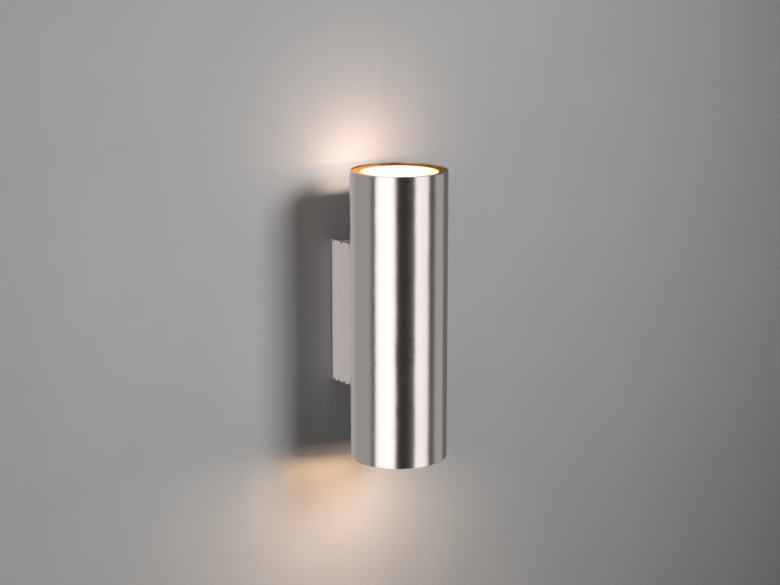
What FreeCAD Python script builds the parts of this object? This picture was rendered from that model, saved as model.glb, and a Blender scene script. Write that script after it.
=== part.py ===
"""Tube wall light: a brushed tube with a lamp at each end, on a box bracket.

Millimetres. The wall is the plane Y = 0, the light stands out towards -Y, Z is up.
The origin is the centre of the wall plate's back face.
"""
import FreeCAD, Part
import math
import os
import re

import Sketcher
from FreeCAD import Rotation, Vector

SIZES = {
    # the tube and where it stands
    "tube_diameter": 80, "tube_length": 240, "tube_wall": 1.5, "rim_round": 0.5,
    "wall_gap": 20, "tube_rise": 3.5,
    # the bracket's extruded casing
    "bracket_width": 50, "bracket_height": 120, "side_wall": 2, "saddle_wall": 2.5,
    "boss_width": 20, "boss_thickness": 3, "port_radius": 3, "port_bore": 2.6, "port_sink": 0.5,
    "end_lip": 2, "notch_radius": 1.4, "notch_depth": 1.8,
    "lower_notch_count": 4, "lower_notch_pitch": 6.9, "lower_notch_start": 3.2,
    "upper_notch_count": 3, "upper_notch_pitch": 11.3, "upper_notch_start": 3.1,
    # clearances
    "seat_gap": 0.3, "pin_clearance": 0.35, "thread_clearance": 0.04, "hole_clearance": 0.2,
    # end plates and their screws
    "end_plate_wall": 1.5, "port_screw_length": 8, "port_screw_head": 4.6, "port_screw_head_rise": 1.5,
    "fixing_thread": 4, "fixing_length": 6, "fixing_head": 7, "fixing_head_rise": 1.7,
    "fixing_depth": 7.5, "screw_slot_width": 0.9,
    "screw_slot_depth": 0.7, "head_bevel": 0.3,
    # wall plate
    "wall_plate_wall": 1.5, "tab_width": 18, "tab_depth": 13, "plate_corner": 3, "bend_radius": 1.5,
    "wall_screw_spacing": 76, "wall_slot_width": 4.6, "wall_slot_length": 11,
    "cable_hole": 12, "cable_bore": 8, "cable_side": 12, "cable_drop": 22, "grommet_flange": 15.5,
    "grommet_rise": 1.6, "earth_inset": 10, "earth_rise": 22, "earth_thread": 4,
    "earth_head": 7.6, "earth_head_rise": 2.4, "earth_washer": 9, "earth_washer_wall": 0.8,
    # terminal block
    "block_width": 20, "block_length": 17, "block_rise": 7.5, "chimney_radius": 2.9, "chimney_rise": 3.5,
    "terminal_pitch": 9.5, "terminal_depth": 4, "terminal_screw_pitch": 8.6, "insert_radius": 2.5,
    "insert_bore": 3, "insert_length": 14.4, "terminal_screw": 3, "terminal_screw_length": 5,
    "block_screw_shank": 2.9, "block_screw_head": 5.2, "block_screw_head_rise": 1.4,
    # hollow threaded nipples that join tube and bracket
    "nipple_thread": 10, "nipple_bore": 7, "nipple_clear": 12.2, "nipple_tail": 4.5, "nipple_nose": 4,
    "nut_across": 14, "nut_thickness": 3, "saddle_washer_radius": 8, "saddle_washer_wall": 3,
    "bush_flange": 10, "bush_flange_wall": 1, "bush_stem": 3.5, "bush_bore": 5.8,
    # lamp carrier
    "carrier_width": 20, "carrier_wall": 1.5, "carrier_reach": 14, "carrier_bend": 2, "carrier_corner": 5,
    "lead_hole": 8,
    # lamp holders
    "holder_length": 29, "holder_width": 20, "holder_height": 18,
    "holder_lip": 3, "holder_well": 6, "twist_angle": 30,
    "holder_screw_spacing": 13.2, "holder_screw": 3, "holder_screw_head": 5, "holder_screw_sink": 1.9,
    "holder_screw_tail": 2.5, "lead_well": 6, "lead_entry_depth": 4,
    # lamps, a standard twist-lock pair
    "lamp_face": 50, "lamp_length": 46, "lamp_recess": 10, "pin_spacing": 10, "pin_neck": 3.1,
    "pin_head": 4.9, "pin_neck_length": 3.6, "pin_length": 7.4, "lamp_wall": 1.5, "lamp_rim_rise": 4.5,
    "lamp_neck": 28.4, "base_diameter": 25.2, "base_rise": 18, "base_step": 11, "base_bevel": 0.8,
    "lens_wall": 2, "bowl_arc": 34, "lens_seat": 1.2,
    # reflector rings and the cover glasses in them
    "ring_edge": 0.6, "ring_recess": 1.3, "ring_wall": 1, "ring_skirt": 13.4, "ring_mouth": 65,
    "ring_throat": 51.8, "tongue_width": 12, "tongue_slit": 1.2, "tongue_slit_rise": 8,
    "glass_wall": 2, "glass_bevel": 0.4, "glass_ledge": 1.5,
    # leads
    "lead_radius": 1, "lead_spacing": 3.2, "lead_bend": 4,
}

NODES = {}

doc = FreeCAD.newDocument("TubeWallLight")
sheet = doc.addObject("Spreadsheet::Sheet", "Sizes")
for row, (alias, size) in enumerate(SIZES.items(), start=1):
    sheet.set(f"A{row}", alias)
    sheet.set(f"B{row}", str(size))
    sheet.setAlias(f"B{row}", alias)
doc.recompute()


def cell(expression):
    """The expression with each size's alias turned into a reference to its cell."""
    return re.sub(r"[a-z]+(?:_[a-z]+)+", lambda found: "Sizes." + found.group(), str(expression))


def value(expression):
    return float(sheet.evalExpression(cell(expression)))


# Places and radii that several pieces share
TUBE_RADIUS = "(tube_diameter / 2)"
TUBE_BORE = f"({TUBE_RADIUS} - tube_wall)"
AXIS_OUT = f"(wall_gap + {TUBE_RADIUS})"
HALF_WIDTH = "(bracket_width / 2)"
INNER_HALF = f"({HALF_WIDTH} - side_wall)"
COPE = f"({TUBE_RADIUS} + seat_gap)"
SADDLE_BACK = f"({COPE} + saddle_wall)"
BOSS_OUT = "(wall_gap - boss_thickness)"
PLATE_SEAT = "(bracket_height / 2 - end_lip - end_plate_wall)"
NIPPLE_HOLE = "(nipple_thread / 2 + hole_clearance)"
WASHER_OUT = "(wall_gap + tube_wall + saddle_washer_wall)"
CARRIER_OUT = f"({WASHER_OUT} + carrier_wall)"
HOLDER_SEAT = "(tube_length / 2 - lamp_recess - lamp_length - seat_gap - holder_height)"
LAMP_SEAT = "(tube_length / 2 - lamp_recess - lamp_length)"
HALF_NIPPLES = f"({HOLDER_SEAT} - tube_rise - nipple_clear)"
EARTH_OUT = f"({INNER_HALF} - earth_inset)"
POLE_OUT = "(wall_plate_wall + terminal_depth)"
PIN_HEAD_WAY = "(pin_head / 2 + pin_clearance)"


def on_circle(x, radius):
    """Y, on the wall's side of the tube's axis, of the point at X = x on a circle about that axis."""
    return f"(sqrt(({radius})^2 - ({x})^2) - {AXIS_OUT})"


PORT_X = f"({INNER_HALF} - port_radius + port_sink)"
PORT_Y = f"({on_circle(PORT_X, SADDLE_BACK)} + port_radius - port_sink)"


# Ways of making things

def new_body(label, place=("0", "0", "0"), turned=None):
    body = doc.addObject("PartDesign::Body", label)
    body.Label = label
    set_place(body, place, turned)
    return body


def set_place(item, place, turned=None):
    if turned:
        item.Placement.Rotation = Rotation(*turned)
    for letter, distance in zip("xyz", place):
        item.setExpression(f"Placement.Base.{letter}", cell(distance))


def origin_part(body, role):
    return next(part for part in body.Origin.OriginFeatures if part.Role == role)


def new_sketch(body, name, plane, lift="0"):
    sketch = body.newObject("Sketcher::SketchObject", name)
    sketch.AttachmentSupport = [(origin_part(body, plane + "_Plane"), "")]
    sketch.MapMode = "FlatFace"
    sketch.setExpression("AttachmentOffset.Base.z", cell(lift))
    return sketch


def pin_point(sketch, geometry, point, x, y):
    """Hold a point of the sketch at two bound distances from its origin."""
    for kind, distance, axis in (("DistanceX", x, -2), ("DistanceY", y, -1)):
        if distance == "0":
            sketch.addConstraint(Sketcher.Constraint("PointOnObject", geometry, point, axis))
        else:
            number = sketch.addConstraint(Sketcher.Constraint(kind, geometry, point, value(distance)))
            sketch.setExpression(f"Constraints[{number}]", cell(distance))


def bind_radius(sketch, geometry, radius):
    number = sketch.addConstraint(Sketcher.Constraint("Radius", geometry, value(radius)))
    sketch.setExpression(f"Constraints[{number}]", cell(radius))


def outline(body, name, plane, corners, lift="0"):
    """A closed outline of lines and arcs. A corner is (x, y), or (x, y, radius, side) where an arc
    starts there: side is 1 if its centre lies to the left of the way to the next corner, else -1."""
    sketch = new_sketch(body, name, plane, lift)
    starts = []
    for index, corner in enumerate(corners):
        following = corners[(index + 1) % len(corners)]
        start = Vector(value(corner[0]), value(corner[1]), 0)
        end = Vector(value(following[0]), value(following[1]), 0)
        if len(corner) == 2:
            sketch.addGeometry(Part.LineSegment(start, end))
            starts.append(1)
            continue
        radius, side = value(corner[2]), corner[3]
        chord = end - start
        left = Vector(-chord.y, chord.x, 0).normalize()
        middle = (start + end) / 2 + left * side * math.sqrt(radius ** 2 - (chord.Length / 2) ** 2)
        first, last = (start, end) if side > 0 else (end, start)
        angles = [math.atan2(point.y - middle.y, point.x - middle.x) for point in (first, last)]
        if angles[1] < angles[0]:
            angles[1] += 2 * math.pi
        sketch.addGeometry(Part.ArcOfCircle(Part.Circle(middle, Vector(0, 0, 1), radius), *angles))
        starts.append(1 if side > 0 else 2)
    for index, corner in enumerate(corners):
        before = index - 1 if index else len(corners) - 1
        sketch.addConstraint(Sketcher.Constraint(
            "Coincident", before, 3 - starts[before], index, starts[index]))
    for index, corner in enumerate(corners):
        pin_point(sketch, index, starts[index], corner[0], corner[1])
        if len(corner) == 4:
            bind_radius(sketch, index, corner[2])
    return sketch


def circles(body, name, plane, rounds, lift="0"):
    """A sketch of circles, each (x, y, radius)."""
    sketch = new_sketch(body, name, plane, lift)
    for x, y, radius in rounds:
        circle = Part.Circle(Vector(value(x), value(y), 0), Vector(0, 0, 1), value(radius))
        number = sketch.addGeometry(circle)
        pin_point(sketch, number, 3, x, y)
        bind_radius(sketch, number, radius)
    return sketch


def box_outline(body, name, plane, low, high, lift="0"):
    corners = [(low[0], low[1]), (high[0], low[1]), (high[0], high[1]), (low[0], high[1])]
    return outline(body, name, plane, corners, lift)


def pad(body, sketch, length, symmetric=False, flipped=False):
    feature = body.newObject("PartDesign::Pad", sketch.Name + "_pad")
    feature.Profile = sketch
    feature.setExpression("Length", cell(length))
    feature.SideType = "Symmetric" if symmetric else "One side"
    feature.Reversed = flipped
    doc.recompute()
    return feature


def cut(body, sketch, length, symmetric=False, flipped=False):
    """A pocket, which stops the build if it takes nothing away."""
    before = body.Shape.Volume
    feature = body.newObject("PartDesign::Pocket", sketch.Name + "_cut")
    feature.Profile = sketch
    feature.setExpression("Length", cell(length))
    feature.SideType = "Symmetric" if symmetric else "One side"
    feature.Reversed = flipped
    doc.recompute()
    if body.Shape.Volume > before - 1e-3:
        raise RuntimeError(f"{feature.Name} takes nothing away")
    return feature


def turn(body, sketch, kind="Revolution", angle="360", flipped=False):
    """The sketch, drawn on the XZ plane, turned about Z."""
    feature = body.newObject("PartDesign::" + kind, sketch.Name + "_turned")
    feature.Profile = sketch
    feature.ReferenceAxis = (origin_part(body, "Z_Axis"), [""])
    feature.setExpression("Angle", cell(angle))
    feature.Reversed = flipped
    doc.recompute()
    return feature


def turned_profile(body, name, corners):
    return turn(body, outline(body, name, "XZ", corners))


def around(body, features, count):
    pattern = body.newObject("PartDesign::PolarPattern", body.Name + "_round")
    pattern.Originals = features
    pattern.Axis = (origin_part(body, "Z_Axis"), [""])
    pattern.Angle = 360
    pattern.Occurrences = count
    body.Tip = pattern
    doc.recompute()
    return pattern


def along(body, feature, axis, pitch, count, backwards=False):
    pattern = body.newObject("PartDesign::LinearPattern", feature.Name + "_row")
    pattern.Originals = [feature]
    pattern.Direction = (origin_part(body, axis + "_Axis"), [""])
    pattern.Reversed = backwards
    pattern.setExpression("Length", cell(f"({count} - 1) * {pitch}"))
    pattern.setExpression("Occurrences", cell(count))
    body.Tip = pattern
    doc.recompute()
    return pattern


def mirror(body, feature, plane):
    pattern = body.newObject("PartDesign::Mirrored", feature.Name + "_mirrored")
    pattern.Originals = [feature]
    pattern.MirrorPlane = (origin_part(body, plane + "_Plane"), [""])
    body.Tip = pattern
    doc.recompute()
    return pattern


def dress(body, kind, size, wanted):
    """Fillet or chamfer every edge that wanted() accepts."""
    base = body.Tip
    names = [f"Edge{number}" for number, edge in enumerate(base.Shape.Edges, start=1) if wanted(edge)]
    feature = body.newObject("PartDesign::" + kind, body.Name + "_" + kind.lower())
    feature.Base = (base, names)
    feature.setExpression("Radius" if kind == "Fillet" else "Size", cell(size))
    doc.recompute()
    return feature


def is_ring(edge, radius, height):
    """Whether an edge is a circle of that radius about Z at that height."""
    if edge.Curve.TypeId != "Part::GeomCircle":
        return False
    curve = edge.Curve
    on_axis = math.hypot(curve.Center.x, curve.Center.y) < 1e-4
    return on_axis and abs(curve.Radius - radius) < 1e-4 and abs(curve.Center.z - height) < 1e-4


def runs_along(edge, axis):
    """Whether an edge is a straight line along Vector axis."""
    return edge.Curve.TypeId == "Part::GeomLine" and abs(abs(edge.Curve.Direction.dot(axis)) - 1) < 1e-6


def keep(item, label=None):
    """Note a finished piece: its label names its file."""
    NODES[label or item.Label] = item


def group(label, members):
    """Identical pieces, kept apart as solids of one node."""
    compound = doc.addObject("Part::Compound", label)
    compound.Label = label
    compound.Links = members
    keep(compound)


UP = (Vector(0, 0, 1), 0)
OVER = (Vector(1, 0, 0), 180)
OVER_SIDEWAYS = (Vector(0, 1, 0), 180)
OUTWARD = (Vector(1, 0, 0), 90)
INWARD = (Vector(1, 0, 0), -90)


# The tube

def make_tube():
    tube = new_body("tube", ("0", f"-{AXIS_OUT}", "tube_rise"))
    section = circles(tube, "tube_section", "XY", [("0", "0", TUBE_RADIUS), ("0", "0", TUBE_BORE)])
    pad(tube, section, "tube_length", symmetric=True)
    holes = [("0", f"{side} * {HALF_NIPPLES} - tube_rise", NIPPLE_HOLE) for side in (1, -1)]
    cut(tube, circles(tube, "tube_holes", "XZ", holes), "tube_diameter")
    radius, half = value(TUBE_RADIUS), value("tube_length / 2")
    dress(tube, "Fillet", "rim_round",
          lambda edge: is_ring(edge, radius, half) or is_ring(edge, radius, -half))
    keep(tube)


# The bracket

def make_casing():
    """An extruded channel: two sides joined by a saddle that follows the tube, with a flat boss for
    the nuts and a screw port in each front corner. Its ends are recessed for the end plates."""
    casing = new_body("bracket_casing")
    front = on_circle(HALF_WIDTH, COPE)
    shoulder = on_circle(INNER_HALF, SADDLE_BACK)
    boss_edge = on_circle("boss_width / 2", SADDLE_BACK)
    corners = [
        (f"-{HALF_WIDTH}", "0"), (f"-{HALF_WIDTH}", front, COPE, -1), (HALF_WIDTH, front),
        (HALF_WIDTH, "0"), (INNER_HALF, "0"), (INNER_HALF, shoulder, SADDLE_BACK, 1),
        ("boss_width / 2", boss_edge), ("boss_width / 2", f"-{BOSS_OUT}"),
        ("-boss_width / 2", f"-{BOSS_OUT}"), ("-boss_width / 2", boss_edge, SADDLE_BACK, 1),
        (f"-{INNER_HALF}", shoulder), (f"-{INNER_HALF}", "0"),
    ]
    pad(casing, outline(casing, "casing_section", "XY", corners), "bracket_height", symmetric=True)
    ports = [(f"{side} * {PORT_X}", PORT_Y, "port_radius") for side in (1, -1)]
    pad(casing, circles(casing, "casing_ports", "XY", ports), f"2 * {PLATE_SEAT}", symmetric=True)
    for name, lift, up in (("top_recess", PLATE_SEAT, True), ("bottom_recess", f"-{PLATE_SEAT}", False)):
        recess = box_outline(casing, name, "XY", (f"-{INNER_HALF}", f"-{AXIS_OUT}"), (INNER_HALF, "1"), lift)
        cut(casing, recess, "end_lip + end_plate_wall + 1", flipped=up)
    bores = [(x, y, "port_bore / 2") for x, y, _ in ports]
    cut(casing, circles(casing, "casing_port_bores", "XY", bores), "bracket_height", symmetric=True)
    holes = [("0", f"{side} * {HALF_NIPPLES}", NIPPLE_HOLE) for side in (1, -1)]
    cut(casing, circles(casing, "casing_holes", "XZ", holes), f"2 * {AXIS_OUT}", symmetric=True)
    for edge, side in (("lower", -1), ("upper", 1)):
        start, root = f"-{edge}_notch_start", f"{side} * (bracket_height / 2 - notch_depth + notch_radius)"
        mouth = f"{side} * (bracket_height / 2 + 1)"
        corners = [(f"{start} - notch_radius", mouth),
                   (f"{start} - notch_radius", root, "notch_radius", side),
                   (start, f"{side} * (bracket_height / 2 - notch_depth)", "notch_radius", side),
                   (f"{start} + notch_radius", root), (f"{start} + notch_radius", mouth)]
        notch = cut(casing, outline(casing, edge + "_notch", "YZ", corners), "bracket_width + 2",
                    symmetric=True)
        along(casing, notch, "Y", f"{edge}_notch_pitch", f"{edge}_notch_count", backwards=True)
    keep(casing)


def make_end_plate(label, height, turned):
    plate = new_body(label, ("0", "0", height), turned)
    half = f"({INNER_HALF} - seat_gap)"
    front = on_circle(half, COPE)
    corners = [(f"-{half}", "-seat_gap"), (f"-{half}", front, COPE, -1), (half, front), (half, "-seat_gap")]
    pad(plate, outline(plate, label + "_outline", "XY", corners), "end_plate_wall")
    holes = [(f"{side} * {PORT_X}", PORT_Y, "port_bore / 2 + hole_clearance") for side in (1, -1)]
    holes.append(("0", "-fixing_depth", "fixing_thread / 2 + hole_clearance"))
    cut(plate, circles(plate, label + "_holes", "XY", holes), "3 * end_plate_wall", symmetric=True)
    keep(plate)


def make_screw(label, place, turned, shank, length, head, rise):
    """A slotted cheese-headed screw with a bevelled head. Its origin is under the head."""
    screw = new_body(label, place, turned)
    turned_profile(screw, label + "_profile", [
        ("0", f"-({length})"), (f"({shank}) / 2", f"-({length})"), (f"({shank}) / 2", "0"),
        (f"({head}) / 2", "0"), (f"({head}) / 2", f"({rise}) - head_bevel"),
        (f"({head}) / 2 - head_bevel", rise), ("0", rise)])
    slot = box_outline(screw, label + "_slot", "XY", (f"-({head})", "-screw_slot_width / 2"),
                       (head, "screw_slot_width / 2"), rise)
    cut(screw, slot, "screw_slot_depth")
    return screw


def make_end_screws():
    screws = []
    for end, turned in ((1, UP), (-1, OVER_SIDEWAYS)):
        for side in (1, -1):
            place = (f"{side} * {PORT_X}", PORT_Y, f"{end} * ({PLATE_SEAT} + end_plate_wall)")
            screws.append(make_screw(f"port_screw_{len(screws)}", place, turned,
                                     "port_bore - 2 * thread_clearance", "port_screw_length",
                                     "port_screw_head", "port_screw_head_rise"))
    group("end_plate_screws", screws)


def make_fixing_screws():
    screws = []
    for end, turned in ((1, UP), (-1, OVER_SIDEWAYS)):
        place = ("0", "-fixing_depth", f"{end} * ({PLATE_SEAT} + end_plate_wall)")
        screws.append(make_screw(f"fixing_screw_{len(screws)}", place, turned,
                                 "fixing_thread - 2 * thread_clearance", "fixing_length",
                                 "fixing_head", "fixing_head_rise"))
    group("fixing_screws", screws)


# The wall plate and what is on it

def make_wall_plate():
    """A pressed plate with a tab bent out at each end for the fixing screws."""
    plate = new_body("wall_plate")
    half, top = f"({INNER_HALF} - seat_gap)", f"({PLATE_SEAT} - seat_gap)"
    face = box_outline(plate, "plate_face", "XZ", (f"-{half}", f"-{top}"), (half, top))
    pad(plate, face, "wall_plate_wall")
    corner = value("wall_plate_wall")
    dress(plate, "Fillet", "plate_corner",
          lambda edge: runs_along(edge, Vector(0, 1, 0)) and abs(edge.Length - corner) < 1e-6)
    tab = box_outline(plate, "plate_tab", "YZ", ("-tab_depth", f"{top} - wall_plate_wall"), ("0", top))
    mirror(plate, pad(plate, tab, "tab_width", symmetric=True), "XY")
    inner, under = -value("wall_plate_wall"), value(f"{top} - wall_plate_wall")
    dress(plate, "Fillet", "bend_radius",
          lambda edge: runs_along(edge, Vector(1, 0, 0)) and abs(edge.CenterOfMass.y - inner) < 1e-4
          and abs(abs(edge.CenterOfMass.z) - under) < 1e-4)
    tab_hole = circles(plate, "tab_hole", "XY", [("0", "-fixing_depth", "fixing_thread / 2")])
    cut(plate, tab_hole, "2 * bracket_height", symmetric=True)
    radius, reach = "wall_slot_width / 2", "(wall_slot_length - wall_slot_width) / 2"
    for name, side in (("upper_slot", 1), ("lower_slot", -1)):
        middle = f"{side} * wall_screw_spacing / 2"
        corners = [(f"-{radius}", f"{middle} - {reach}", radius, 1),
                   ("0", f"{middle} - {reach} - {radius}", radius, 1),
                   (radius, f"{middle} - {reach}"), (radius, f"{middle} + {reach}", radius, 1),
                   ("0", f"{middle} + {reach} + {radius}", radius, 1), (f"-{radius}", f"{middle} + {reach}")]
        cut(plate, outline(plate, name, "XZ", corners), "3 * wall_plate_wall", symmetric=True)
    holes = [("cable_side", "-cable_drop", "cable_hole / 2"),
             (f"-{EARTH_OUT}", "earth_rise", "earth_thread / 2"),
             ("0", "0", "block_screw_shank / 2 + thread_clearance")]
    cut(plate, circles(plate, "plate_holes", "XZ", holes[:2]), "3 * wall_plate_wall", symmetric=True)
    blind = circles(plate, "block_screw_hole", "XZ", holes[2:], "wall_plate_wall")
    cut(plate, blind, "wall_plate_wall * 0.7")
    keep(plate)


def make_grommet():
    grommet = new_body("cable_grommet", ("cable_side", "0", "-cable_drop"), OUTWARD)
    stem, top = "(cable_hole / 2 - thread_clearance)", "(wall_plate_wall + grommet_rise)"
    turned_profile(grommet, "grommet_profile", [
        ("cable_bore / 2", "0.2"), (stem, "0.2"), (stem, "wall_plate_wall"),
        ("grommet_flange / 2", "wall_plate_wall"),
        ("grommet_flange / 2", f"{top} - grommet_rise / 2"),
        ("grommet_flange / 2 - grommet_rise / 2", top), ("cable_bore / 2", top)])
    keep(grommet)


def make_earth_screw():
    washer = new_body("earth_washer", (f"-{EARTH_OUT}", "-wall_plate_wall", "earth_rise"), OUTWARD)
    hole = "earth_thread / 2 + hole_clearance"
    rings = [("0", "0", "earth_washer / 2"), ("0", "0", hole)]
    pad(washer, circles(washer, "earth_washer_section", "XY", rings), "earth_washer_wall")
    keep(washer)
    place = (f"-{EARTH_OUT}", "-(wall_plate_wall + earth_washer_wall)", "earth_rise")
    screw = make_screw("earth_screw", place, OUTWARD, "earth_thread - 2 * thread_clearance",
                       "wall_plate_wall + earth_washer_wall - 0.3", "earth_head", "earth_head_rise")
    keep(screw)


def make_terminal_block():
    """A moulded block with two poles: a wire bore along Z through each, and a chimney over each screw."""
    block = new_body("terminal_block")
    crest = "(wall_plate_wall + block_rise)"
    section = box_outline(block, "block_section", "XY", ("-block_width / 2", f"-{crest}"),
                          ("block_width / 2", "-wall_plate_wall"))
    pad(block, section, "block_length", symmetric=True)
    dress(block, "Fillet", "1.5",
          lambda edge: runs_along(edge, Vector(0, 0, 1)) and edge.CenterOfMass.y < -value(crest) + 1e-3)
    spots = [(f"{side} * terminal_pitch / 2", f"{end} * terminal_screw_pitch / 2")
             for side in (1, -1) for end in (1, -1)]
    chimneys = [(x, z, "chimney_radius") for x, z in spots]
    pad(block, circles(block, "block_chimneys", "XZ", chimneys, crest), "chimney_rise")
    wells = [(x, z, "terminal_screw / 2 + hole_clearance") for x, z in spots]
    cut(block, circles(block, "block_wells", "XZ", wells, f"{crest} + chimney_rise"),
        f"{crest} + chimney_rise - {POLE_OUT}")
    bores = [(f"{side} * terminal_pitch / 2", f"-{POLE_OUT}", "insert_radius + hole_clearance")
             for side in (1, -1)]
    cut(block, circles(block, "block_bores", "XY", bores), "2 * block_length", symmetric=True)
    middle = circles(block, "block_middle_hole", "XZ", [("0", "0", "block_screw_shank / 2 + hole_clearance")],
                     f"{crest}")
    cut(block, middle, "block_rise + 1")
    keep(block)
    inserts = []
    for side in (1, -1):
        name = f"insert_{len(inserts)}"
        insert = new_body("terminal_" + name, (f"{side} * terminal_pitch / 2", f"-{POLE_OUT}", "0"))
        rings = [("0", "0", "insert_radius"), ("0", "0", "insert_bore / 2")]
        pad(insert, circles(insert, name + "_section", "XY", rings), "insert_length", symmetric=True)
        taps = [("0", f"{end} * terminal_screw_pitch / 2", "terminal_screw / 2") for end in (1, -1)]
        cut(insert, circles(insert, name + "_taps", "XZ", taps), "2 * insert_radius", flipped=True)
        inserts.append(insert)
    group("terminal_inserts", inserts)
    screws = []
    for x, z in spots:
        place = (x, f"-({POLE_OUT} + lead_radius + terminal_screw_length)", z)
        screws.append(make_clamp_screw(f"terminal_screw_{len(screws)}", place))
    group("terminal_screws", screws)
    keep(make_screw("block_screw", ("0", f"-{crest}", "0"), OUTWARD, "block_screw_shank",
                    "block_rise + wall_plate_wall * 0.6", "block_screw_head", "block_screw_head_rise"))


def make_clamp_screw(label, place):
    """A headless slotted screw. Its origin is at its outer end."""
    screw = new_body(label, place, OUTWARD)
    radius = "(terminal_screw / 2 - thread_clearance)"
    rod = circles(screw, label + "_section", "XY", [("0", "0", radius)], "-(terminal_screw_length - 0.1)")
    pad(screw, rod, "terminal_screw_length - 0.1")
    slot = box_outline(screw, label + "_slot", "XY", ("-terminal_screw", "-screw_slot_width / 3"),
                       ("terminal_screw", "screw_slot_width / 3"))
    cut(screw, slot, "screw_slot_depth")
    return screw


# What joins the tube to the bracket

def make_nipples():
    nipples, nuts, washers, bushes = [], [], [], []
    tail, nose = f"({BOSS_OUT} - nipple_tail)", f"({CARRIER_OUT} + nipple_nose)"
    for side in (1, -1):
        height = f"{side} * {HALF_NIPPLES}"
        name = f"nipple_{len(nipples)}"
        nipple = new_body(name, ("0", f"-{tail}", height), OUTWARD)
        rings = [("0", "0", "nipple_thread / 2"), ("0", "0", "nipple_bore / 2")]
        pad(nipple, circles(nipple, name + "_section", "XY", rings), f"{nose} - {tail}")
        nipples.append(nipple)
        washers.append(make_saddle_washer(f"saddle_{len(washers)}", height))
        for out in (f"{BOSS_OUT} - nut_thickness", CARRIER_OUT):
            nuts.append(make_nut(f"nut_{len(nuts)}", ("0", f"-({out})", height)))
        bushes.append(make_bush(f"bush_{len(bushes)}", ("0", f"-{tail}", height), INWARD))
        bushes.append(make_bush(f"bush_{len(bushes)}", ("0", f"-{nose}", height), OUTWARD))
    group("threaded_nipples", nipples)
    group("nipple_nuts", nuts)
    group("saddle_washers", washers)
    group("nipple_bushes", bushes)


def make_nut(label, place):
    nut = new_body(label, place, OUTWARD)
    corners = [(f"nut_across * {math.cos(math.radians(60 * k)) / math.sqrt(3):.6f}",
                f"nut_across * {math.sin(math.radians(60 * k)) / math.sqrt(3):.6f}") for k in range(6)]
    pad(nut, outline(nut, label + "_hexagon", "XY", corners), "nut_thickness")
    bore = circles(nut, label + "_bore", "XY", [("0", "0", "nipple_thread / 2 + thread_clearance")])
    cut(nut, bore, "3 * nut_thickness", symmetric=True)
    return nut


def make_saddle_washer(label, height):
    """A round washer, flat towards the carrier and curved to lie in the tube."""
    washer = new_body(label, ("0", f"-{WASHER_OUT}", height), INWARD)
    rings = [("0", "0", "saddle_washer_radius"), ("0", "0", NIPPLE_HOLE)]
    pad(washer, circles(washer, label + "_section", "XY", rings), "2 * saddle_washer_wall")
    centre, radius = f"-({TUBE_BORE} - saddle_washer_wall)", f"({TUBE_BORE} - seat_gap)"
    reach = "(saddle_washer_radius + 1)"
    edge = f"({centre} + sqrt(({radius})^2 - ({reach})^2))"
    corners = [(f"-{reach}", edge), (f"-{reach}", "3 * saddle_washer_wall"),
               (reach, "3 * saddle_washer_wall"), (reach, edge, radius, 1)]
    cut(washer, outline(washer, label + "_curve", "XZ", corners), "4 * saddle_washer_radius", symmetric=True)
    return washer


def make_bush(label, place, turned):
    bush = new_body(label, place, turned)
    stem = "(nipple_bore / 2 - thread_clearance)"
    turned_profile(bush, label + "_profile", [
        ("bush_bore / 2", "-bush_stem"), (stem, "-bush_stem"), (stem, "0"), ("bush_flange / 2", "0"),
        ("bush_flange / 2", "bush_flange_wall / 2"),
        ("bush_flange / 2 - bush_flange_wall / 2", "bush_flange_wall"),
        ("bush_bore / 2", "bush_flange_wall")])
    return bush


# Inside the tube

def make_carrier():
    """A strip bent to a U. Its back lies on the saddle washers and its ends carry the lamp holders."""
    carrier = new_body("lamp_carrier", ("0", "0", "tube_rise"))
    reach = f"({AXIS_OUT} + carrier_reach)"
    low = f"({HOLDER_SEAT} - carrier_wall)"
    corners = [(f"-{WASHER_OUT}", f"-{HOLDER_SEAT}"), (f"-{WASHER_OUT}", HOLDER_SEAT),
               (f"-{reach}", HOLDER_SEAT), (f"-{reach}", low), (f"-{CARRIER_OUT}", low),
               (f"-{CARRIER_OUT}", f"-{low}"), (f"-{reach}", f"-{low}"), (f"-{reach}", f"-{HOLDER_SEAT}")]
    pad(carrier, outline(carrier, "carrier_section", "YZ", corners), "carrier_width", symmetric=True)
    back, face = value(WASHER_OUT), value(CARRIER_OUT)

    def is_bend(edge, out):
        return runs_along(edge, Vector(1, 0, 0)) and abs(edge.CenterOfMass.y + out) < 1e-4

    dress(carrier, "Fillet", "carrier_bend", lambda edge: is_bend(edge, face))
    dress(carrier, "Fillet", "carrier_bend + carrier_wall", lambda edge: is_bend(edge, back))
    wall = value("carrier_wall")
    dress(carrier, "Fillet", "carrier_corner",
          lambda edge: runs_along(edge, Vector(0, 0, 1)) and abs(edge.Length - wall) < 1e-6)
    holes = [("0", f"{side} * {HALF_NIPPLES} - tube_rise", NIPPLE_HOLE) for side in (1, -1)]
    cut(carrier, circles(carrier, "carrier_holes", "XZ", holes, WASHER_OUT), "3 * carrier_wall",
        symmetric=True)
    holes = [("0", f"-{AXIS_OUT} + {side} * holder_screw_spacing / 2", "holder_screw / 2")
             for side in (1, -1)]
    holes.append(("0", f"-{AXIS_OUT}", "lead_hole / 2"))
    cut(carrier, circles(carrier, "flange_holes", "XY", holes), "tube_length", symmetric=True)
    keep(carrier)


def stadium(body, name, lift, height):
    """The holder's plan, padded: a rectangle with a half round at each end."""
    reach, end = "(holder_length / 2 - holder_width / 2)", "holder_width / 2"
    corners = [(reach, f"-({end})", end, 1), (f"{reach} + {end}", "0", end, 1), (reach, end),
               (f"-{reach}", end, end, 1), (f"-{reach} - {end}", "0", end, 1), (f"-{reach}", f"-({end})")]
    pad(body, outline(body, name, "XY", corners, lift), height)


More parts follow.
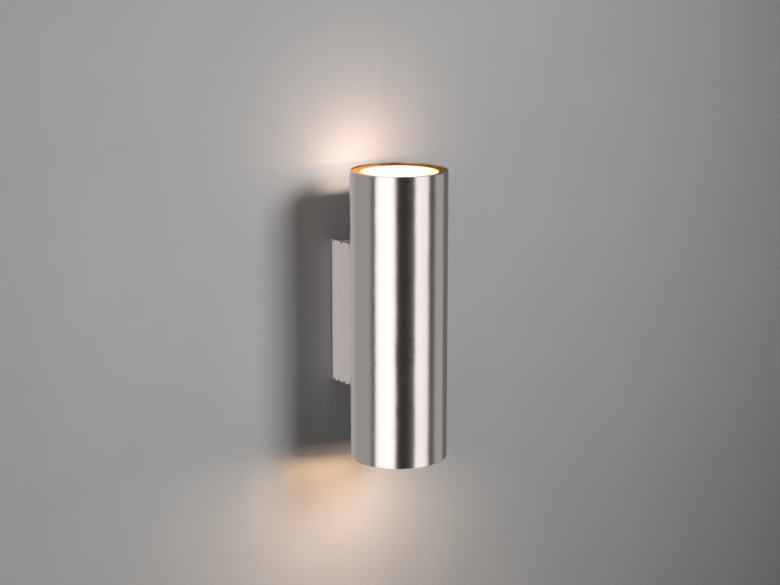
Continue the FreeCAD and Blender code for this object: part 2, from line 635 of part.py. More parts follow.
def cut_pin_ways(body, label, half_way, low, high):
    """Each pin's way is its own width, with its clearance, turned about the lamp's axis from the place
    where it locks to a round entry that passes the pin's head."""
    middle, depth = "pin_spacing / 2", f"({high} - {low})"
    before = body.Shape.Volume
    corners = (f"{middle} - {half_way}", low), (f"{middle} + {half_way}", high)
    way = turn(body, box_outline(body, label + "_way", "XZ", *corners), "Groove", "twist_angle")
    if body.Shape.Volume > before - 1:
        raise RuntimeError(f"{label}'s pin way takes nothing away")
    locked = circles(body, label + "_locked", "XY", [(middle, "0", half_way)], high)
    entry_x, entry_y = f"{middle} * cos(twist_angle * 1deg)", f"{middle} * sin(twist_angle * 1deg)"
    entry = circles(body, label + "_entry", "XY", [(entry_x, entry_y, PIN_HEAD_WAY)], high)
    around(body, [way, cut(body, locked, depth), cut(body, entry, depth)], 2)


def make_holder(end_name, side, turned):
    """A ceramic holder in two pieces: a body with a well under each pin, and a lid whose narrow ways
    hold the pins' heads down in the wells."""
    place = ("0", f"-{AXIS_OUT}", f"tube_rise + {side} * {HOLDER_SEAT}")
    under, top = "(holder_height - holder_lip)", "holder_height"
    spots = [("0", f"{one} * holder_screw_spacing / 2") for one in (1, -1)]
    shanks = [(x, y, "holder_screw / 2 + hole_clearance") for x, y in spots]
    body_label, lid_label = "lamp_holder_" + end_name, "holder_lid_" + end_name
    holder = new_body(body_label, place, turned)
    stadium(holder, body_label + "_plan", "0", under)
    cut_pin_ways(holder, body_label, PIN_HEAD_WAY, f"({under} - holder_well)", under)
    cut(holder, circles(holder, body_label + "_holes", "XY", shanks), "3 * holder_height", symmetric=True)
    entry = circles(holder, body_label + "_lead_well", "XY", [("0", "0", "lead_well / 2")])
    cut(holder, entry, "lead_entry_depth", flipped=True)
    keep(holder)
    lid = new_body(lid_label, place, turned)
    stadium(lid, lid_label + "_plan", under, "holder_lip")
    cut_pin_ways(lid, lid_label, "(pin_neck / 2 + pin_clearance)", under, top)
    cut(lid, circles(lid, lid_label + "_holes", "XY", shanks), "3 * holder_height", symmetric=True)
    heads = [(x, y, "holder_screw_head / 2 + hole_clearance") for x, y in spots]
    cut(lid, circles(lid, lid_label + "_sinks", "XY", heads, top), "holder_screw_sink")
    keep(lid)


def make_holder_screws():
    screws = []
    for end, turned in ((1, UP), (-1, OVER_SIDEWAYS)):
        for side in (1, -1):
            place = ("0", f"-{AXIS_OUT} + {side} * holder_screw_spacing / 2",
                     f"tube_rise + {end} * ({HOLDER_SEAT} + holder_height - holder_screw_sink)")
            length = "holder_height - holder_screw_sink + carrier_wall + holder_screw_tail"
            screws.append(make_screw(f"holder_screw_{len(screws)}", place, turned,
                                     "holder_screw - 2 * thread_clearance", length, "holder_screw_head",
                                     "holder_screw_sink - 0.6"))
    group("holder_screws", screws)


# The lamps

def make_lamp(prefix, side, turned):
    """A twist-lock lamp: a base with two pins, a bowl and a flat front lens."""
    place = ("0", f"-{AXIS_OUT}", f"tube_rise + {side} * {LAMP_SEAT}")
    neck, face, wall = "lamp_neck / 2", "(lamp_face / 2 - 0.1)", "lamp_wall"
    rim = "(lamp_length - lamp_rim_rise)"
    base = new_body(prefix + "_base", place, turned)
    turned_profile(base, prefix + "_base_profile", [
        ("0", "0"), ("base_diameter / 2 - base_bevel", "0"), ("base_diameter / 2", "base_bevel"),
        ("base_diameter / 2", "base_step"), (neck, "base_step + 2"), (neck, "base_rise"), ("0", "base_rise")])
    keep(base)
    bowl = new_body(prefix + "_bowl", place, turned)
    turned_profile(bowl, prefix + "_bowl_profile", [
        ("0", "base_rise"), (neck, "base_rise", "bowl_arc", 1), (face, rim), (face, "lamp_length"),
        (f"{face} - {wall}", "lamp_length"), (f"{face} - {wall}", f"{rim} + 0.5"),
        (f"{neck} - {wall}", f"base_rise + {wall}"), ("0", f"base_rise + {wall}")])
    keep(bowl)
    lens = new_body(prefix + "_lens", place, turned)
    edge, seat = f"({face} - {wall} - seat_gap)", "(lamp_length - lens_seat - lens_wall)"
    turned_profile(lens, prefix + "_lens_profile", [
        ("0", seat), (edge, seat), (edge, f"{seat} + lens_wall"), ("0", f"{seat} + lens_wall")])
    keep(lens)
    pins = new_body(prefix + "_pins", place, turned)
    middle, narrow, wide = "pin_spacing / 2", "pin_neck / 2", "pin_head / 2"
    neck_pad = pad(pins, circles(pins, prefix + "_pin_necks", "XY", [(middle, "0", narrow)]),
                   "pin_neck_length", flipped=True)
    head = circles(pins, prefix + "_pin_heads", "XY", [(middle, "0", wide)], "-pin_neck_length")
    head_pad = pad(pins, head, "pin_length - pin_neck_length", flipped=True)
    around(pins, [neck_pad, head_pad], 2)
    keep(pins)


def make_reflector_ring(label, side, turned):
    """A spun ring: a flange dished towards the cover glass, a rebate with a ledge for the glass, a
    funnel down to the lamp, and a skirt whose three tongues grip the tube."""
    ring = new_body(label, ("0", f"-{AXIS_OUT}", f"tube_rise + {side} * tube_length / 2"), turned)
    skirt, mouth, throat = f"({TUBE_BORE} - seat_gap)", "ring_mouth / 2", "ring_throat / 2"
    foot, ledge, floor = "-(ring_edge + ring_skirt)", "-(ring_recess + glass_wall)", "-(lamp_recess + 1)"
    turned_profile(ring, label + "_profile", [
        (skirt, foot), (skirt, "-ring_edge"), (mouth, "-ring_recess"), (mouth, ledge),
        (f"{mouth} - glass_ledge", ledge), (throat, floor), (f"{throat} + ring_wall", floor),
        (f"{mouth} - glass_ledge + ring_wall", f"{ledge} - ring_wall"),
        (f"{mouth} + ring_wall", f"{ledge} - ring_wall"),
        (f"{mouth} + ring_wall", "-(ring_recess + ring_wall)"),
        (f"{skirt} - ring_wall", "-(ring_edge + ring_wall)"), (f"{skirt} - ring_wall", foot)])
    low = f"({foot} - 1)"
    slits = []
    for index, one in enumerate((1, -1)):
        near, far = f"{one} * tongue_width / 2", f"{one} * (tongue_width / 2 + tongue_slit)"
        high = f"{foot} + tongue_slit_rise"
        corners = [(near, low), (far, low), (far, high), (near, high)]
        slit = outline(ring, f"{label}_slit_{index}", "XZ", corners, f"-({mouth} + ring_wall)")
        slits.append(cut(ring, slit, "tube_diameter"))
    around(ring, slits, 3)
    keep(ring)


def make_cover_glass(label, side, turned):
    """A frosted disc that lies on the ring's ledge, flush with the flange's inner edge."""
    height = f"tube_rise + {side} * (tube_length / 2 - ring_recess - glass_wall)"
    glass = new_body(label, ("0", f"-{AXIS_OUT}", height), turned)
    edge = "(ring_mouth / 2 - seat_gap)"
    turned_profile(glass, label + "_profile", [
        ("0", "0"), (edge, "0"), (edge, "glass_wall - glass_bevel"), (f"{edge} - glass_bevel", "glass_wall"),
        ("0", "glass_wall")])
    keep(glass)


# The leads

def rounded_route(points, radius):
    """Straight runs through the points, joined by tangent arcs."""
    edges, here = [], points[0]
    for before, corner, after in zip(points, points[1:], points[2:]):
        back, on = (before - corner).normalize(), (after - corner).normalize()
        turn_half = (math.pi - back.getAngle(on)) / 2
        setback = radius * math.tan(turn_half)
        start, end = corner + back * setback, corner + on * setback
        inward = (back + on).normalize()
        crown = corner + inward * (radius / math.cos(turn_half) - radius)
        edges += [Part.LineSegment(here, start).toShape(), Part.Arc(start, crown, end).toShape()]
        here = end
    edges.append(Part.LineSegment(here, points[-1]).toShape())
    return Part.Wire(edges)


def make_leads(label, side):
    """A pair of leads from the terminal block, through one nipple, to a lamp holder."""
    leads = []
    radius = value("lead_radius")
    for hand in (1, -1):
        pole, beside = hand * value("terminal_pitch / 2"), hand * value("lead_spacing / 2")
        level, out, axis = side * value(HALF_NIPPLES), value(POLE_OUT), value(AXIS_OUT)
        start = side * value("terminal_screw_pitch / 2 + terminal_screw")
        clear = (side * value("block_length / 2") + level) / 2
        holder = value(f"tube_rise + {side} * ({HOLDER_SEAT} + lead_entry_depth - seat_gap)")
        points = [Vector(pole, -out, start), Vector(pole, -out, clear), Vector(beside, -out, level),
                  Vector(beside, -axis, level), Vector(beside, -axis, holder)]
        route = rounded_route(points, value("lead_bend"))
        end_face = Part.Wire(Part.Circle(points[0], Vector(0, 0, 1), radius).toShape())
        lead = route.makePipeShell([end_face], True, True)
        expected = math.pi * radius ** 2 * route.Length
        if abs(lead.Volume - expected) > 0.01 * expected:
            raise RuntimeError(f"{label} has volume {lead.Volume:.1f}, not {expected:.1f}")
        leads.append(lead)
    pair = doc.addObject("Part::Feature", label)
    pair.Label = label
    pair.Shape = Part.makeCompound(leads)
    pair.Placement = FreeCAD.Placement()
    keep(pair)


# The whole light

make_tube()
make_casing()
make_end_plate("top_end_plate", PLATE_SEAT, UP)
make_end_plate("bottom_end_plate", f"-{PLATE_SEAT}", OVER_SIDEWAYS)
make_end_screws()
make_fixing_screws()
make_wall_plate()
make_grommet()
make_earth_screw()
make_terminal_block()
make_nipples()
make_carrier()
make_holder_screws()
for end_name, end_side, end_turn in (("top", 1, UP), ("bottom", -1, OVER)):
    make_holder(end_name, end_side, end_turn)
    make_lamp("lamp_" + end_name, end_side, end_turn)
    make_reflector_ring("reflector_ring_" + end_name, end_side, end_turn)
    make_cover_glass("cover_glass_" + end_name, end_side, end_turn)
    make_leads("leads_" + end_name, end_side)
doc.recompute()

for item in doc.Objects:
    if any(word in item.State for word in ("Invalid", "Error")):
        raise RuntimeError(f"{item.Name} is {item.State}")
for label, item in NODES.items():
    if item.Shape.isNull() or not item.Shape.isValid() or not item.Shape.Solids:
        raise RuntimeError(f"{label} has no sound shape")

os.makedirs("parts", exist_ok=True)
for label, item in NODES.items():
    item.Shape.exportStep(f"parts/{label}.step")
    extent = item.Shape.BoundBox
    print(f"{label}: {len(item.Shape.Solids)} solid(s), {item.Shape.Volume:.1f} mm3, "
          f"{extent.XLength:.1f} x {extent.YLength:.1f} x {extent.ZLength:.1f}")
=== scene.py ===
"""Looks for the tube wall light: finishes for every piece, lit lamps, a plain wall, and studio light."""

import math

import bpy
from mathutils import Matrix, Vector

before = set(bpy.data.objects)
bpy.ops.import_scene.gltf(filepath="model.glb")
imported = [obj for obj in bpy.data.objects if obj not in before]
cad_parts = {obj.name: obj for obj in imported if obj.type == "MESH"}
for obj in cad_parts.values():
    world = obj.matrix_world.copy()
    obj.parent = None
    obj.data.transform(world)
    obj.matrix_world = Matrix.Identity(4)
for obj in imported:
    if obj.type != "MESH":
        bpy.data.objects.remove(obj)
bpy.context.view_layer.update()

# Places are in metres: X to the right seen from the room, Y into the wall, Z up
TUBE_AXIS = Vector((0, -0.06, 0))
MOUTHS = {"top": Vector((0, -0.06, 0.1235)), "bottom": Vector((0, -0.06, -0.1165))}
BORE_RADIUS = 0.0385


# Writing materials

class Socket:
    """An output in a material's node tree. Sums and products of it add their Math nodes."""

    def __init__(self, finish, output):
        self.finish = finish
        self.output = output

    def math(self, operation, *others):
        terms = dict(enumerate((self,) + others))
        return self.finish.node("Math", {"operation": operation}, terms)

    def _flipped(self, operation, other):
        return self.finish.node("Math", {"operation": operation}, {0: other, 1: self})

    def __add__(self, other):
        return self.math("ADD", other)

    def __radd__(self, other):
        return self._flipped("ADD", other)

    def __sub__(self, other):
        return self.math("SUBTRACT", other)

    def __rsub__(self, other):
        return self._flipped("SUBTRACT", other)

    def __mul__(self, other):
        return self.math("MULTIPLY", other)

    def __rmul__(self, other):
        return self._flipped("MULTIPLY", other)

    def __truediv__(self, other):
        return self.math("DIVIDE", other)

    def __pow__(self, other):
        return self.math("POWER", other)

    def clamped(self):
        return self.finish.node("Clamp", {}, {0: self})

    def out(self, name):
        return Socket(self.finish, self.output.node.outputs[name])


class Finish:
    """A procedural material, or the world's shader."""

    def __init__(self, name, home=bpy.data.materials):
        self.material = home.new(name)
        self.material.use_nodes = True
        self.tree = self.material.node_tree
        self.tree.nodes.clear()

    def node(self, kind, settings, sockets, output=0):
        """Add any node: its settings first, then the value or link of each named socket."""
        node = self.tree.nodes.new("ShaderNode" + kind)
        for name, setting in settings.items():
            if name == "stops":
                ramp = node.color_ramp.elements
                for index, (place, colour) in enumerate(setting):
                    stop = ramp[index] if index < 2 else ramp.new(place)
                    stop.position, stop.color = place, colour
            else:
                setattr(node, name, setting)
        for name, value in sockets.items():
            if isinstance(value, Socket):
                self.tree.links.new(value.output, node.inputs[name])
            else:
                node.inputs[name].default_value = value
        return Socket(self, node.outputs[output]) if node.outputs else None

    def place(self):
        """The point's own place, in metres."""
        return self.node("TexCoord", {}, {}).out("Object")

    def parts(self, vector):
        split = self.node("SeparateXYZ", {}, {0: vector})
        return [split.out(letter) for letter in "XYZ"]

    def joined(self, x, y, z):
        return self.node("CombineXYZ", {}, {0: x, 1: y, 2: z})

    def across_axis(self):
        """The point's distances from the tube's axis: to the right, and towards the wall."""
        x, y = self.parts(self.place())[:2]
        return x, y - TUBE_AXIS.y

    def reach(self):
        """The point's distance from the tube's axis."""
        x, inward = self.across_axis()
        return (x * x + inward * inward) ** 0.5

    def noise(self, vector, scale, detail=3.0, roughness=0.55):
        return self.node("TexNoise", {}, {
            "Vector": vector, "Scale": scale, "Detail": detail, "Roughness": roughness})

    def stretched(self, vector, scales):
        return self.node("VectorMath", {"operation": "MULTIPLY"}, {0: vector, 1: scales})

    def blend(self, factor, first, second):
        """A colour between two others."""
        return self.node("Mix", {"data_type": "RGBA"}, {0: factor, 6: first, 7: second}, 2)

    def ramp(self, factor, stops):
        return self.node("ValToRGB", {"stops": stops}, {0: factor})

    def bump(self, height, distance, strength=1.0):
        return self.node("Bump", {}, {"Height": height, "Distance": distance, "Strength": strength})

    def surface(self, **sockets):
        shader = self.node("BsdfPrincipled", {}, {
            name.replace("_", " "): value for name, value in sockets.items()})
        self.show(shader)
        return self.material

    def glow(self, colour):
        """A surface that only glows, and isn't sampled as a lamp."""
        self.show(self.node("Emission", {}, {"Color": colour, "Strength": 1.0}))
        self.material.cycles.emission_sampling = "NONE"
        return self.material

    def show(self, shader):
        self.node("OutputMaterial", {}, {"Surface": shader})


# Finishes

NICKEL_DEEP = (0.74, 0.705, 0.695, 1)
NICKEL_PALE = (0.84, 0.80, 0.79, 1)
BORE_ROUGHNESS = 0.34
BORE_EDGE, BORE_FADE = 0.0006, 0.00025
FINER = 2.7


def brushed_nickel(name, grain, turn, waves, cut, roughness):
    """Satin nickel with brush lines. grain stretches the lines: a low number runs along them. turn is
    the highlight's direction, as a part of a full turn. waves is the height of the metal's own slight
    waves in metres, and cut the lines' depth as a part of it. Inside the tube the metal is duller."""
    finish = Finish(name)
    place = finish.place()
    in_bore = ((BORE_RADIUS + BORE_EDGE - finish.reach()) / BORE_FADE).clamped()
    lines = finish.noise(finish.stretched(place, grain), 1.0, detail=5.0, roughness=0.7)
    fine_grain = tuple(FINER * stretch for stretch in grain)
    fine = finish.noise(finish.stretched(place, fine_grain), 1.0, detail=2.0, roughness=0.6)
    clouds = finish.noise(place, 22.0, detail=3.0, roughness=0.5)
    handling = finish.noise(place, 75.0, detail=5.0, roughness=0.62)
    brushed = lines * 0.6 + fine * 0.4
    tone = (brushed * 0.7 + clouds * 0.15 + handling * 0.15).clamped()
    wear = brushed * 0.03 + clouds * 0.05 + handling * 0.07
    return finish.surface(
        Base_Color=finish.blend(tone, NICKEL_DEEP, NICKEL_PALE),
        Metallic=1.0,
        Roughness=roughness + wear + in_bore * BORE_ROUGHNESS,
        Anisotropic=0.97,
        Anisotropic_Rotation=turn,
        Normal=finish.bump(clouds + brushed * cut, waves))


def zinc_plate():
    """Bright zinc on pressed steel: small cloudy grain, a bluish cast and dull handling marks."""
    finish = Finish("zinc_plate")
    place = finish.place()
    spangle = finish.noise(place, 900.0, detail=2.0, roughness=0.5)
    clouds = finish.noise(place, 90.0, detail=4.0, roughness=0.6)
    tone = (clouds * 0.7 + spangle * 0.3).clamped()
    return finish.surface(
        Base_Color=finish.blend(tone, (0.50, 0.515, 0.54, 1), (0.74, 0.745, 0.75, 1)),
        Metallic=1.0,
        Roughness=0.28 + clouds * 0.22,
        Normal=finish.bump(spangle, 0.00004))


def gold_anodised():
    """Gold-tone anodised aluminium, turned, so that fine rings run round it."""
    finish = Finish("gold_anodised")
    rings = finish.noise(finish.joined(finish.reach() * 5200, 0.0, 0.0), 1.0, detail=3.0, roughness=0.7)
    clouds = finish.noise(finish.place(), 60.0, detail=3.0, roughness=0.5)
    return finish.surface(
        Base_Color=finish.blend(rings, (0.92, 0.45, 0.05, 1), (1.0, 0.58, 0.11, 1)),
        Metallic=1.0,
        Specular_Tint=(1.0, 0.72, 0.42, 1),
        Roughness=0.15 + clouds * 0.12,
        Normal=finish.bump(rings, 0.00003))


def plain_brass():
    """Bare brass, turned and a little tarnished."""
    finish = Finish("plain_brass")
    place = finish.place()
    tarnish = finish.noise(place, 180.0, detail=5.0, roughness=0.65)
    turned = finish.noise(finish.stretched(place, (300, 4000, 300)), 1.0, detail=2.0, roughness=0.5)
    return finish.surface(
        Base_Color=finish.blend(tarnish, (0.52, 0.36, 0.13, 1), (0.86, 0.68, 0.34, 1)),
        Metallic=1.0,
        Roughness=0.22 + tarnish * 0.2,
        Normal=finish.bump(turned, 0.00003))


def plated_pin():
    """Nickel plate over turned brass, with the turning lines round the pin."""
    finish = Finish("plated_pin")
    around = finish.stretched(finish.place(), (400, 400, 5000))
    turned = finish.noise(around, 1.0, detail=2.0, roughness=0.5)
    return finish.surface(
        Base_Color=finish.blend(turned, (0.62, 0.60, 0.55, 1), (0.80, 0.78, 0.74, 1)),
        Metallic=1.0,
        Roughness=0.2 + turned * 0.12,
        Normal=finish.bump(turned, 0.00002))


def moulded(name, deep, pale, roughness, grain, depth):
    """Moulded plastic, rubber or fired clay: a fine grain over a slow change of tone."""
    finish = Finish(name)
    place = finish.place()
    speckle = finish.noise(place, grain, detail=3.0, roughness=0.6)
    clouds = finish.noise(place, 70.0, detail=3.0, roughness=0.5)
    tone = (clouds * 0.6 + speckle * 0.4).clamped()
    return finish.surface(
        Base_Color=finish.blend(tone, deep, pale),
        Roughness=roughness + clouds * 0.12,
        Normal=finish.bump(speckle, depth))


def woven_sleeve():
    """Two families of fine glass threads that cross along the lead."""
    finish = Finish("woven_sleeve")
    x, y, z = finish.parts(finish.place())
    radians_per_metre = 7500
    one = ((x + y + z) * radians_per_metre).math("SINE")
    two = ((x - y - z) * radians_per_metre).math("SINE")
    weave = (one * two) * 0.5 + 0.5
    return finish.surface(
        Base_Color=finish.blend(weave, (0.62, 0.58, 0.50, 1), (0.88, 0.86, 0.80, 1)),
        Roughness=0.62 + weave * 0.2,
        Normal=finish.bump(weave, 0.0001))


LENS_GLOW = 9.0
PAINTED_GLASS_GLOW = 1.7


def lit_lens():
    """Frosted lens over the lamp's emitters: dimpled, and dimmer at its rim."""
    finish = Finish("lit_lens")
    x, inward = finish.across_axis()
    dimples = finish.node("TexVoronoi", {"feature": "SMOOTH_F1"}, {
        "Vector": finish.joined(x, inward, 0.0), "Scale": 190.0})
    middle = (1.12 - finish.reach() * 14).clamped()
    return finish.surface(
        Base_Color=(0.92, 0.90, 0.86, 1),
        Roughness=0.35,
        Emission_Color=finish.blend(middle, (1.0, 0.62, 0.34, 1), (1.0, 0.86, 0.68, 1)),
        Emission_Strength=LENS_GLOW,
        Normal=finish.bump(dimples, 0.0004))


def painted_glow_cover_glass():
    """Acid-frosted glass, with the lamp's light through it painted on as a glow: white-hot over the lamp,
    warmer towards its edge.
    """
    finish = Finish("painted_glow_cover_glass")
    frost = finish.noise(finish.place(), 2600.0, detail=3.0, roughness=0.6)
    clouds = finish.noise(finish.place(), 90.0, detail=3.0, roughness=0.5)
    # Painted light: the glow stands in for the lamp shining through the glass, and turns warmer and dimmer
    # towards the rim
    edge = (finish.reach() * 95 - 2.1 + (clouds - 0.5) * 0.3).clamped()
    return finish.surface(
        Base_Color=finish.blend(frost, (0.20, 0.18, 0.14, 1), (0.30, 0.28, 0.23, 1)),
        Roughness=0.42 + frost * 0.2,
        Emission_Color=finish.blend(edge, (1.0, 0.88, 0.70, 1), (0.42, 0.29, 0.08, 1)),
        Emission_Strength=PAINTED_GLASS_GLOW,
        Normal=finish.bump(frost, 0.00005))


ROUND_THE_TUBE = (18, 18, 2600)
ALONG_THE_BRACKET = (2600, 2600, 14)
ACROSS_THE_ENDS = (14, 2600, 2600)

FINISHES = {
    brushed_nickel(
        "nickel_brushed_round", ROUND_THE_TUBE, turn=0.25, waves=0.0004, cut=0.0005, roughness=0.21):
        ["tube"],
    brushed_nickel(
        "nickel_brushed_along", ALONG_THE_BRACKET, turn=0.0, waves=0.000025, cut=1.0, roughness=0.31):
        ["bracket_casing"],
    brushed_nickel(
        "nickel_brushed_across", ACROSS_THE_ENDS, turn=0.0, waves=0.00002, cut=1.0, roughness=0.26):
        ["top_end_plate", "bottom_end_plate"],
    zinc_plate(): [
        "end_plate_screws", "fixing_screws", "wall_plate", "terminal_screws", "block_screw",
        "threaded_nipples", "nipple_nuts", "saddle_washers", "lamp_carrier", "holder_screws"],
    gold_anodised(): ["reflector_ring_top", "reflector_ring_bottom"],
    plain_brass(): ["earth_washer", "earth_screw", "terminal_inserts"],
    plated_pin(): ["lamp_top_pins", "lamp_bottom_pins"],
    moulded("black_rubber", (0.018, 0.018, 0.019, 1), (0.05, 0.05, 0.052, 1), 0.6, 1400.0, 0.00006):
        ["cable_grommet"],
    moulded("block_plastic", (0.70, 0.70, 0.65, 1), (0.86, 0.86, 0.81, 1), 0.34, 2000.0, 0.00002):
        ["terminal_block"],
    moulded("white_plastic", (0.78, 0.78, 0.76, 1), (0.90, 0.90, 0.88, 1), 0.38, 2200.0, 0.00002):
        ["nipple_bushes"],
    moulded("fired_ceramic", (0.72, 0.69, 0.62, 1), (0.88, 0.86, 0.80, 1), 0.62, 1200.0, 0.00008):
        ["lamp_holder_top", "lamp_holder_bottom", "holder_lid_top", "holder_lid_bottom"],
    moulded("lamp_base_white", (0.82, 0.82, 0.80, 1), (0.92, 0.92, 0.90, 1), 0.24, 2400.0, 0.00001):
        ["lamp_top_base", "lamp_bottom_base"],
    moulded("lamp_bowl_white", (0.80, 0.80, 0.78, 1), (0.90, 0.90, 0.88, 1), 0.36, 1800.0, 0.00002):
        ["lamp_top_bowl", "lamp_bottom_bowl"],
    lit_lens(): ["lamp_top_lens", "lamp_bottom_lens"],
    painted_glow_cover_glass(): ["cover_glass_top", "cover_glass_bottom"],
    woven_sleeve(): ["leads_top", "leads_bottom"],
}

for material, nodes in FINISHES.items():
    for node in nodes:
        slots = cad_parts[node].data.materials
        slots.clear()
        slots.append(material)


# The wall, the floor and the light tent, which aren't part of the object

def stage_mesh(name, corners, faces, material):
    mesh = bpy.data.meshes.new(name)
    mesh.from_pydata(corners, [], faces)
    mesh.materials.append(material)
    item = bpy.data.objects.new(name, mesh)
    bpy.context.scene.collection.objects.link(item)
    return item


def painted_wall():
    """Matt grey paint. Seen from behind it isn't there, so that the bracket's back can be seen."""
    finish = Finish("wall_paint")
    place = finish.place()
    roller = finish.noise(place, 420.0, detail=4.0, roughness=0.6)
    clouds = finish.noise(place, 11.0, detail=5.0, roughness=0.55)
    paint = finish.node("BsdfPrincipled", {}, {
        "Base Color": finish.blend(clouds, (0.355, 0.355, 0.357, 1), (0.395, 0.395, 0.396, 1)),
        "Roughness": 0.75,
        "Normal": finish.bump(roller, 0.0003, strength=0.25)})
    clear = finish.node("BsdfTransparent", {}, {})
    behind = finish.node("NewGeometry", {}, {}).out("Backfacing")
    passed = finish.node("LightPath", {}, {}).out("Transparent Depth")
    finish.show(finish.node("MixShader", {}, {
        0: behind.math("MAXIMUM", passed).clamped(), 1: paint, 2: clear}))
    return finish.material


def pale_floor():
    """Soft white paint, which a camera sees as pale however little light falls so far down."""
    finish = Finish("floor_paint")
    clouds = finish.noise(finish.place(), 4.0, detail=4.0, roughness=0.5)
    tone = finish.blend(clouds, (0.76, 0.76, 0.76, 1), (0.82, 0.82, 0.82, 1))
    paint = finish.node("BsdfPrincipled", {}, {"Base Color": tone, "Roughness": 0.8})
    glow = finish.node("Emission", {}, {"Color": tone, "Strength": 1.0})
    seen = finish.node("LightPath", {}, {}).out("Is Camera Ray")
    finish.show(finish.node("MixShader", {}, {0: seen, 1: paint, 2: glow}))
    finish.material.cycles.emission_sampling = "NONE"
    return finish.material


STAGE_REACH = 3.0
WALL_PLACE = 0.0006
FLOOR_HEIGHT = -1.4

stage_mesh(
    "wall",
    [(-STAGE_REACH, WALL_PLACE, FLOOR_HEIGHT), (STAGE_REACH, WALL_PLACE, FLOOR_HEIGHT),
     (STAGE_REACH, WALL_PLACE, STAGE_REACH), (-STAGE_REACH, WALL_PLACE, STAGE_REACH)],
    [(0, 1, 2, 3)], painted_wall())
stage_mesh(
    "floor",
    [(-STAGE_REACH, -STAGE_REACH, FLOOR_HEIGHT), (STAGE_REACH, -STAGE_REACH, FLOOR_HEIGHT),
     (STAGE_REACH, STAGE_REACH, FLOOR_HEIGHT), (-STAGE_REACH, STAGE_REACH, FLOOR_HEIGHT)],
    [(0, 1, 2, 3)], pale_floor())

# What the metal reflects: white and black cards round the light, as (degrees, level) from straight
# in front, to the right as seen from there
CARDS = [
    (-180, 0.55), (-150, 0.9), (-125, 0.25), (-108, 0.06), (-96, 0.06), (-92, 1.38), (-58, 1.46),
    (-47, 1.25), (-41, 0.05), (-30, 0.035), (-12, 0.038), (-0.5, 0.05), (2.5, 1.1), (9, 1.22),
    (34, 1.2), (38.5, 0.16), (44, 0.08), (53, 0.09), (58, 0.40), (86, 0.45), (96, 0.10),
    (118, 0.25), (145, 0.9), (180, 0.55)]


def card_colour(level):
    """Slightly warm, and more so where the card is dark."""
    return level, level * 0.97 - 0.004, level * 0.965 - 0.007, 1


def card_tent():
    finish = Finish("card_tent")
    x, inward = finish.across_axis()
    turn = x.math("ARCTAN2", 0.0 - inward) / (2 * math.pi) + 0.5
    stops = [((degrees + 180) / 360, card_colour(level)) for degrees, level in CARDS]
    return finish.glow(finish.ramp(turn, stops))


TENT_REACH = 1.25
SIDES, BANDS = 72, 24


def tent_point(side, band):
    turn, rise = 2 * math.pi * side / SIDES, math.pi * (band / BANDS - 0.5)
    flat = TENT_REACH * math.cos(rise)
    return (flat * math.sin(turn), TUBE_AXIS.y - flat * math.cos(turn), TENT_REACH * math.sin(rise))


def reflected_only(item):
    item.visible_camera = item.visible_diffuse = item.visible_shadow = item.visible_transmission = False


reflected_only(stage_mesh(
    "card_tent",
    [tent_point(side, band) for band in range(BANDS + 1) for side in range(SIDES)],
    [(band * SIDES + side, band * SIDES + (side + 1) % SIDES,
      (band + 1) * SIDES + (side + 1) % SIDES, (band + 1) * SIDES + side)
     for band in range(BANDS) for side in range(SIDES)],
    card_tent()))

# A painted reflection of the wall, on glowing cards that only the metal's sides see: pale near the
# bracket, dim further out. (metres from the middle, level)
WALL_CARDS = {
    "left": [(-0.90, 0.13), (-0.30, 0.13), (-0.28, 0.36), (-0.055, 0.38), (-0.046, 0.47), (-0.026, 0.50)],
    "right": [(0.026, 0.20), (0.10, 0.16), (0.90, 0.13)],
}
WALL_CARD_PLACE = -0.0004
WALL_CARD_RISE = 0.7


def wall_card_paint(side, stops):
    # Painted reflection: the brightness that the metal's sides show in place of the shaded wall
    finish = Finish("wall_card_" + side)
    x = finish.parts(finish.place())[0]
    near, far = stops[0][0], stops[-1][0]
    tones = [
        ((place - near) / (far - near), (level, level * 0.96, level * 0.95, 1)) for place, level in stops]
    return finish.glow(finish.ramp((x - near) / (far - near), tones))


for side, stops in WALL_CARDS.items():
    near, far = stops[0][0], stops[-1][0]
    reflected_only(stage_mesh(
        "wall_card_" + side,
        [(x, WALL_CARD_PLACE, z) for x, z in (
            (near, -WALL_CARD_RISE), (far, -WALL_CARD_RISE), (far, WALL_CARD_RISE), (near, WALL_CARD_RISE))],
        [(0, 1, 2, 3)], wall_card_paint(side, stops)))


# Lights

def area_light(name, size, power, tint, spread):
    lamp = bpy.data.lights.new(name, "AREA")
    lamp.shape, (lamp.size, lamp.size_y) = "RECTANGLE", size
    lamp.energy, lamp.color, lamp.spread = power, tint, math.radians(spread)
    item = bpy.data.objects.new(name, lamp)
    item.visible_glossy = False
    bpy.context.scene.collection.objects.link(item)
    return item


def softbox(name, degrees, rise, distance, size, power, aim, spread=180.0):
    """A soft lamp: degrees to the right of straight in front, and rise degrees up."""
    item = area_light(name, size, power, (1, 1, 1), spread)
    turn, lift = math.radians(degrees), math.radians(rise)
    item.location = TUBE_AXIS + distance * Vector(
        (math.sin(turn) * math.cos(lift), -math.cos(turn) * math.cos(lift), math.sin(lift)))
    item.rotation_euler = (Vector(aim) - item.location).to_track_quat("-Z", "Y").to_euler()


softbox("key_softbox", 25, 25, 1.6, (0.62, 0.62), power=5.3, aim=(-0.28, 0, -0.04), spread=74)
softbox("left_softbox", -68, 8, 1.3, (1.0, 1.2), power=1.9, aim=TUBE_AXIS)
softbox("right_card", 72, 0, 1.4, (0.9, 1.2), power=0.7, aim=(0.1, 0, -0.1))
softbox("back_left_softbox", -150, 15, 1.3, (1.0, 1.2), power=16, aim=TUBE_AXIS)
softbox("back_right_softbox", 140, 10, 1.3, (1.0, 1.2), power=12, aim=TUBE_AXIS)


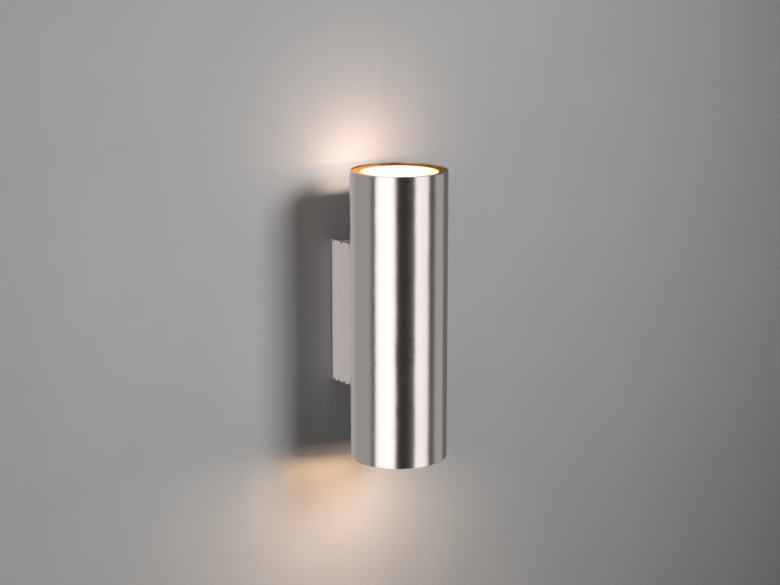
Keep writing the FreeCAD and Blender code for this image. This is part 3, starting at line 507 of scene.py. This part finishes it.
def lamp_light(end, name, offset, lean, roll, size, power, tint, spread=180.0):
    """Part of the light that a lamp throws out of its mouth, offset from the mouth's middle. It stays
    put when the lamp twists, because the lamp is round. lean turns it from straight down (0) towards
    the wall (90) and on to straight up (180); roll dips its right side."""
    item = area_light(f"lamp_{end}_{name}", size, power, tint, spread)
    item.location = MOUTHS[end] + Vector(offset)
    item.rotation_euler = (math.radians(lean), math.radians(roll), 0)
    item.visible_camera = False


lamp_light("top", "wash", (0, -0.030, 0.0023), lean=95, roll=0, size=(0.09, 0.006),
           power=0.0345, tint=(1.0, 0.61, 0.43), spread=120)
lamp_light("top", "spill", (0, 0.030, 0.0090), lean=90, roll=0, size=(0.05, 0.012),
           power=0.009, tint=(1.0, 0.70, 0.56))
lamp_light("top", "fringe", (-0.014, 0.044, -0.0250), lean=172, roll=0, size=(0.04, 0.008),
           power=0.016, tint=(1.0, 0.78, 0.66))
lamp_light("bottom", "wash", (-0.005, -0.030, -0.0006), lean=9, roll=11, size=(0.08, 0.02),
           power=0.345, tint=(1.0, 0.67, 0.45), spread=163)
lamp_light("bottom", "fringe", (-0.035, 0.040, -0.0100), lean=4, roll=8, size=(0.07, 0.01),
           power=0.024, tint=(1.0, 0.66, 0.42))

# The sky gives little light, and is pale where it is seen, reflected or looked at through glass
SKY_LIGHT, SKY_SEEN = 0.05, 1.0

sky = Finish("studio_sky", bpy.data.worlds)
bpy.context.scene.world = sky.material
path = sky.node("LightPath", {}, {})
seen = path.out("Is Camera Ray") + path.out("Is Glossy Ray") + path.out("Is Transmission Ray")
dim, pale = [
    sky.node("Background", {}, {"Color": (1, 1, 1, 1), "Strength": level})
    for level in (SKY_LIGHT, SKY_SEEN)]
sky.node("OutputWorld", {}, {"Surface": sky.node("MixShader", {}, {0: seen.clamped(), 1: dim, 2: pale})})

scene = bpy.context.scene
scene.view_settings.view_transform = "Standard"

# The camera stands where the photograph was taken from

CAMERA_PLACE = Vector((-0.87346, -1.22196, 0.34689))
CAMERA_AIM = Vector((-0.005752, -0.055720, 0.02197))

camera_data = bpy.data.cameras.new("photo_camera")
camera_data.lens, camera_data.sensor_width = 84.0, 36.0
camera = bpy.data.objects.new("photo_camera", camera_data)
camera.location = CAMERA_PLACE
camera.rotation_euler = (CAMERA_AIM - CAMERA_PLACE).to_track_quat("-Z", "Y").to_euler()
scene.collection.objects.link(camera)
scene.camera = camera
